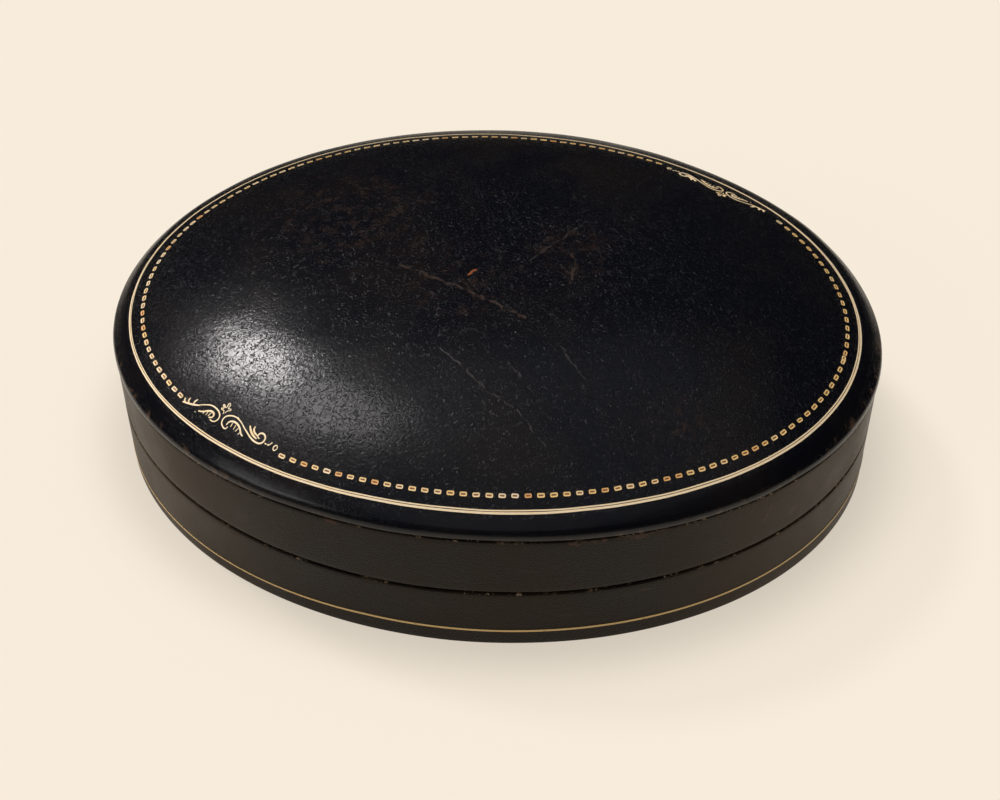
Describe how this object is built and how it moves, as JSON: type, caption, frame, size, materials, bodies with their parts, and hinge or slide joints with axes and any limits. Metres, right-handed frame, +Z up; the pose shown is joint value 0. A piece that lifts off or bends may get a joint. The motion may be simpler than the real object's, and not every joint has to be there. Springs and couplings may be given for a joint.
{
  "type": "leather coin case",
  "caption": "Oval domed case in black grained leather with a gilt tooled border, a hinged lid, a soft lining and a velvet tray with round wells for coins.",
  "frame": {"origin": "centre of the underside, on the surface that the case rests on", "axes": "+X along the case's length, +Y to the hinge at the back, +Z up through the lid"},
  "size_m": [0.15, 0.1124, 0.0445],
  "materials": {
    "top_leather": "grained black leather, satin, worn",
    "side_leather": "smooth black-brown leather, satin, worn",
    "gilt": "gold leaf pressed into leather",
    "wood": "plain wood, unpolished",
    "wadding": "cotton wadding",
    "velvet": "short pile velvet",
    "silk": "padded satin",
    "brass": "drawn brass, slightly tarnished",
    "steel": "drawn wire"
  },
  "bodies": {
    "base": {"base_bottom_leather": "side_leather", "base_collar": "wood", "base_floor_board": "wood", "base_hoop": "wood", "base_side_leather": "side_leather", "base_wall_lining": "velvet", "coin_tray": "velvet", "hinge_base_leaf": "brass", "hinge_base_nail_1": "brass", "hinge_base_nail_2": "brass", "hinge_base_nail_3": "brass", "hinge_pin": "steel", "tray_bed": "velvet"},
    "lid": {"hinge_lid_leaf": "brass", "hinge_lid_nail_1": "brass", "hinge_lid_nail_2": "brass", "hinge_lid_nail_3": "brass", "lid_dome_board": "wood", "lid_hoop": "wood", "lid_lining_pad": "silk", "lid_padding": "wadding", "lid_side_leather": "side_leather", "lid_top_leather": "top_leather", "lid_wall_lining": "silk"}
  },
  "joints": [
    {"name": "lid_hinge", "type": "hinge", "parent": "base", "child": "lid", "pos_m": [0, 0.05445, 0.015], "axis": [-1, 0, 0], "range_deg": [0, 100]}
  ]
}
